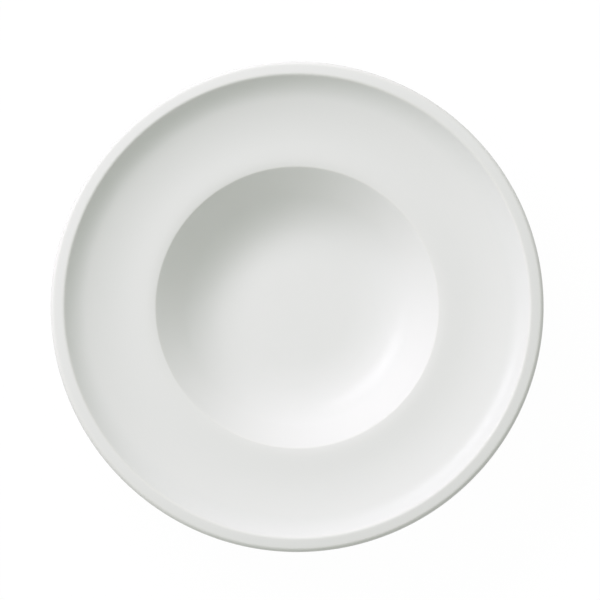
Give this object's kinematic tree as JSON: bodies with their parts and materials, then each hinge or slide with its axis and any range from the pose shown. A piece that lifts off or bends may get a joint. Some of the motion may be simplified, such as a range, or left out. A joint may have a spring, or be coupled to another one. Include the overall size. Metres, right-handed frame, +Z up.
{
  "type": "pasta bowl",
  "caption": "Round white glazed porcelain pasta bowl with a sloping well, a wide brim that curves up to a raised lip, and a bare-edged foot ring.",
  "frame": {"origin": "centre of the foot ring's standing face", "axes": "+Z up, along the axis that the bowl is turned about; X and Y are alike"},
  "size_m": [0.3, 0.3, 0.0473],
  "materials": {
    "bare_porcelain": "matt, ground smooth on the standing edge",
    "white_glaze": "glossy white glaze"
  },
  "bodies": {
    "root": {"porcelain_body": "bare_porcelain", "glaze_coat": "white_glaze", "foot_recess_glaze": "white_glaze"}
  },
  "joints": []
}
